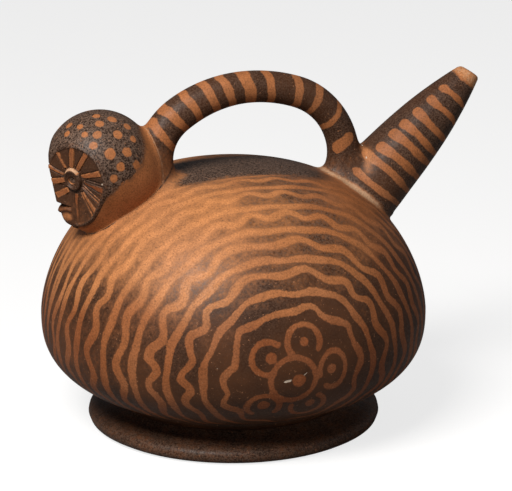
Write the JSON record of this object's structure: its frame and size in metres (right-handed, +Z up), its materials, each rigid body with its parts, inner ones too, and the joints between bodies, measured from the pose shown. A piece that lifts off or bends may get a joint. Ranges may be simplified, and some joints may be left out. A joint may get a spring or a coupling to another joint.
{
  "type": "spout-and-bridge bottle",
  "caption": "Squat round clay bottle on a ring foot, with a slanted tapering spout joined by an arched bridge to a bird's head with dished face discs.",
  "frame": {"origin": "centre of the foot ring's resting face, on the ground", "axes": "+Z up along the chamber's axis; +X towards the spout, so the bird's head stands towards -X; the mirror plane is Y = 0"},
  "size_m": [0.1953, 0.165, 0.1514],
  "materials": {
    "painted_body": "burnished, slip painted",
    "dark_slip": "burnished dark slip",
    "spotted_slip": "burnished dark slip with resist spots",
    "face_slip": "incised dark slip",
    "orange_slip": "burnished orange slip",
    "red_slip": "smoothed red slip",
    "banded_slip": "burnished, slip painted"
  },
  "bodies": {
    "root": {"lower_bowl": "painted_body", "upper_dome": "painted_body", "foot_ring": "dark_slip", "foot_luting": "dark_slip", "head_dome": "spotted_slip", "face_disc_left": "face_slip", "face_disc_right": "face_slip", "eye_ring_left": "face_slip", "eye_ring_right": "face_slip", "upper_beak": "face_slip", "lower_beak": "orange_slip", "neck_luting": "red_slip", "bridge": "banded_slip", "bridge_head_luting": "red_slip", "bridge_spout_luting": "red_slip", "spout": "banded_slip", "spout_luting": "red_slip"}
  },
  "joints": []
}
